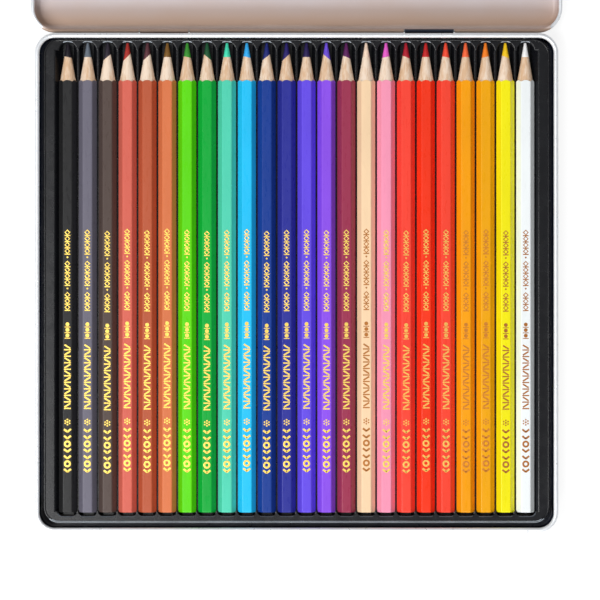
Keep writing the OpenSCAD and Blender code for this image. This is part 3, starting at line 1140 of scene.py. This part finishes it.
class PENCILTIN_OT_stage(BuildOperator, bpy.types.Operator):
    """Set the floor, the lamps and the camera"""

    bl_idname = "penciltin.stage"
    bl_label = "Stage"

    def execute(self, context):
        stage = self.settings.stage
        floor = start("table_top", "plane", size=30.0, location=(0.0, 0.0, -0.1 * MM))
        bake_place(floor)
        give(floor, floor_finish("table_white", stage.floor_color))
        self.light_sky(stage.sky)
        self.add_lamp("key_lamp", *KEY_LAMP, stage.key)
        self.add_lamp("spark_lamp", *SPARK_LAMP, stage.spark)
        self.add_camera(stage)
        context.scene.view_settings.view_transform = "Standard"
        return {"FINISHED"}

    def light_sky(self, strength):
        world = bpy.data.worlds.new("studio")
        world.use_nodes = True
        background = world.node_tree.nodes["Background"]
        background.inputs["Color"].default_value = (1.0, 1.0, 1.0, 1.0)
        background.inputs["Strength"].default_value = strength
        bpy.context.scene.world = world

    def add_lamp(self, name, place, size, power):
        """Hangs a rectangular lamp that faces the middle of the tin."""
        lamp = bpy.data.lights.new(name, "AREA")
        lamp.shape = "RECTANGLE"
        lamp.size, lamp.size_y = size
        lamp.energy = power
        holder = bpy.data.objects.new(name, lamp)
        holder.location = place
        holder.rotation_euler = (-Vector(place)).to_track_quat("-Z", "Y").to_euler()
        bpy.context.scene.collection.objects.link(holder)

    def add_camera(self, stage):
        data = bpy.data.cameras.new("photo_camera")
        data.sensor_fit = "AUTO"
        data.angle = stage.view_angle
        data.clip_start = 10 * MM
        camera = bpy.data.objects.new("photo_camera", data)
        camera.location = (stage.camera_x, stage.camera_y, stage.camera_height)
        bpy.context.scene.collection.objects.link(camera)
        bpy.context.scene.camera = camera


def floor_finish(name, tone):
    """A pale table that looks white itself and in what reflects it, and keeps soft shadows."""
    material = bpy.data.materials.new(name)
    material.use_nodes = True
    nodes, links = material.node_tree.nodes, material.node_tree.links
    nodes.clear()
    lit = nodes.new("ShaderNodeBsdfDiffuse")
    lit.inputs["Color"].default_value = (*tone, 1.0)
    seen = nodes.new("ShaderNodeBsdfDiffuse")
    seen.inputs["Color"].default_value = (0.24, 0.24, 0.24, 1.0)
    glow = nodes.new("ShaderNodeEmission")
    glow.inputs["Strength"].default_value = 0.86
    shown = nodes.new("ShaderNodeAddShader")
    links.new(seen.outputs["BSDF"], shown.inputs[0])
    links.new(glow.outputs["Emission"], shown.inputs[1])
    rays = nodes.new("ShaderNodeLightPath")
    last = rays.outputs["Is Camera Ray"]
    for kind in ("Is Glossy Ray", "Is Transmission Ray"):
        either = nodes.new("ShaderNodeMath")
        either.operation = "MAXIMUM"
        links.new(last, either.inputs[0])
        links.new(rays.outputs[kind], either.inputs[1])
        last = either.outputs["Value"]
    mix = nodes.new("ShaderNodeMixShader")
    links.new(last, mix.inputs["Fac"])
    links.new(lit.outputs["BSDF"], mix.inputs[1])
    links.new(shown.outputs["Shader"], mix.inputs[2])
    output = nodes.new("ShaderNodeOutputMaterial")
    links.new(mix.outputs["Shader"], output.inputs["Surface"])
    return material


OPERATORS = (
    PENCILTIN_OT_base,
    PENCILTIN_OT_lid,
    PENCILTIN_OT_pins,
    PENCILTIN_OT_tray,
    PENCILTIN_OT_pencils,
    PENCILTIN_OT_stage,
)


class PENCILTIN_PT_panel(bpy.types.Panel):
    """The sidebar's list of pieces and sizes"""

    bl_idname = "PENCILTIN_PT_panel"
    bl_label = "Pencil tin"
    bl_space_type = "VIEW_3D"
    bl_region_type = "UI"
    bl_category = "Pencil tin"

    def draw(self, context):
        settings = context.scene.pencil_tin
        for operator in OPERATORS:
            self.layout.operator(operator.bl_idname)
        for group in (settings.tin, settings.tray, settings.pencil, settings.finish, settings.stage):
            column = self.layout.column(align=True)
            for key in group.__annotations__:
                column.prop(group, key)


CLASSES = (
    TinSizes,
    TraySizes,
    PencilSizes,
    FinishColors,
    StageSettings,
    PencilTinSettings,
    *OPERATORS,
    PENCILTIN_PT_panel,
)


def register():
    for item in CLASSES:
        bpy.utils.register_class(item)
    bpy.types.Scene.pencil_tin = PointerProperty(type=PencilTinSettings)


def unregister():
    del bpy.types.Scene.pencil_tin
    for item in reversed(CLASSES):
        bpy.utils.unregister_class(item)


def main():
    register()
    bpy.ops.penciltin.base()
    bpy.ops.penciltin.lid()
    bpy.ops.penciltin.pins()
    bpy.ops.penciltin.tray()
    bpy.ops.penciltin.pencils()
    bpy.ops.penciltin.stage()


if __name__ == "__main__":
    main()
